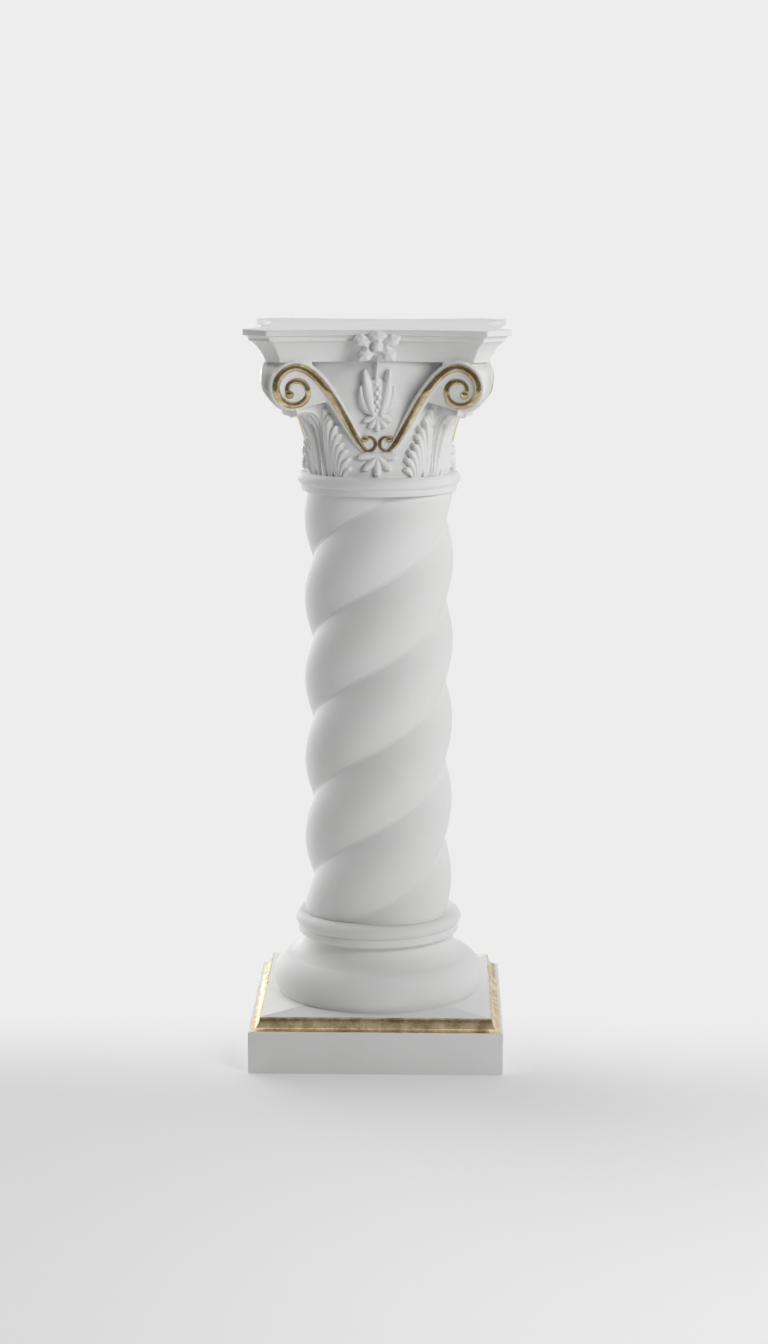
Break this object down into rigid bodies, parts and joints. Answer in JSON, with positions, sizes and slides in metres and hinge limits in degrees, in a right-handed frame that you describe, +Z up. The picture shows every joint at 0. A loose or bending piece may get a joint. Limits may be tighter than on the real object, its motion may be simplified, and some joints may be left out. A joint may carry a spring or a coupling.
{
  "type": "column pedestal",
  "caption": "Free-standing twisted column pedestal with a square plinth, moulded round base, spiral shaft and a carved capital under a concave-sided top",
  "frame": {"origin": "middle of the underside of the plinth, on the surface it stands on", "axes": "+Z is up along the column, and X and Y run parallel to the sides of the square plinth"},
  "size_m": [0.351, 0.351, 1],
  "materials": {
    "painted_plaster": "cast plaster with matte white paint, faint brush and casting texture",
    "gold_paint": "hand-brushed gold paint on the scrolls and on the plinth's cove, darker in the hollows"
  },
  "bodies": {
    "root": {"base": "painted_plaster", "shaft": "painted_plaster", "capital": "painted_plaster"}
  },
  "joints": []
}
